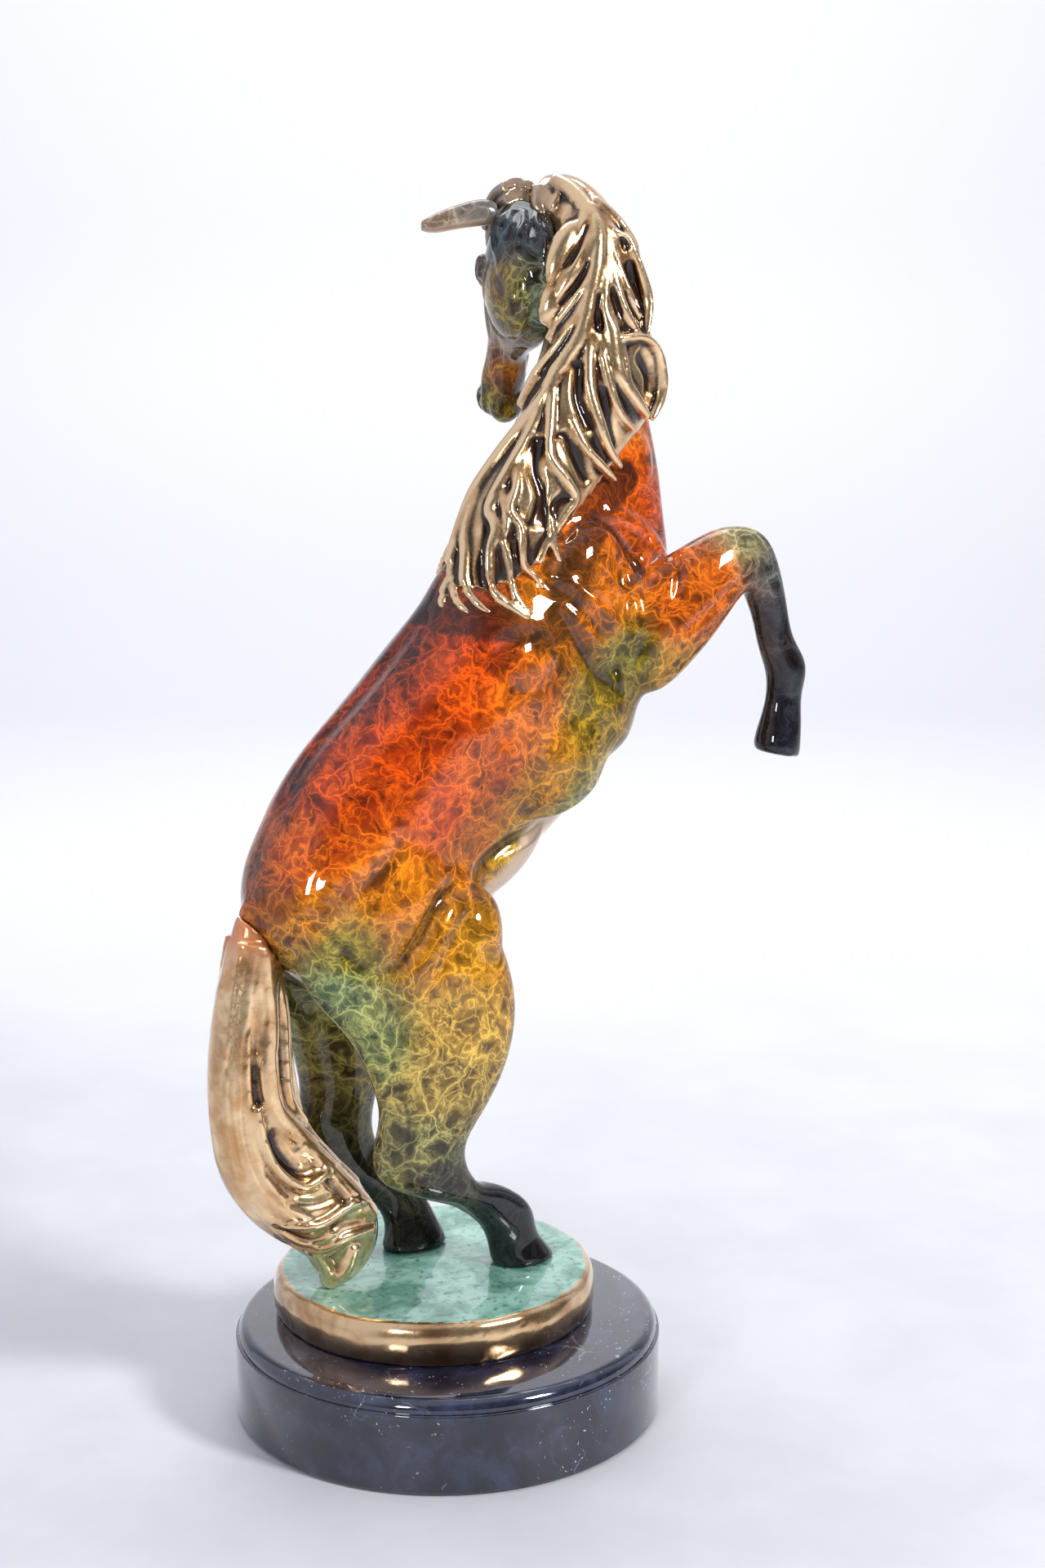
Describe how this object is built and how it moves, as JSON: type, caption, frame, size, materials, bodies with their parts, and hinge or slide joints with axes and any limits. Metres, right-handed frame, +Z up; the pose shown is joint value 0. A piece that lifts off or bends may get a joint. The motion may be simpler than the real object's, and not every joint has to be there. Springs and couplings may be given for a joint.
{
  "type": "rearing horse statue",
  "caption": "Rearing horse in hot-patinated and polished bronze, head turned to its left, on a bronze ground plate bolted to a round black marble base.",
  "frame": {"origin": "centre of the felt's underside, on the axis of the round marble base", "axes": "+Z up; the horse rears towards +X; +Y is the horse's left side"},
  "size_m": [0.2661, 0.18, 0.5127],
  "materials": {
    "felt": "dark green pressed felt",
    "marble": "polished black with white veins",
    "ground_bronze": "mint green patina on top, polished rim, lacquered",
    "patina_bronze": "orange and olive hot patina with fine veins, gloss lacquer",
    "polished_bronze": "polished with brown recesses, gloss lacquer",
    "steel": "zinc plated"
  },
  "bodies": {
    "root": {"felt_pad": "felt", "marble_base": "marble", "ground_plate": "ground_bronze", "fixing_studs": "steel", "fixing_washers": "steel", "fixing_nuts": "steel", "trunk": "patina_bronze", "neck": "patina_bronze", "head": "patina_bronze", "left_ear": "patina_bronze", "right_ear": "patina_bronze", "right_foreleg": "patina_bronze", "left_foreleg": "patina_bronze", "right_hind_leg": "patina_bronze", "left_hind_leg": "patina_bronze", "mane": "polished_bronze", "forelock": "polished_bronze", "tail": "polished_bronze"}
  },
  "joints": []
}
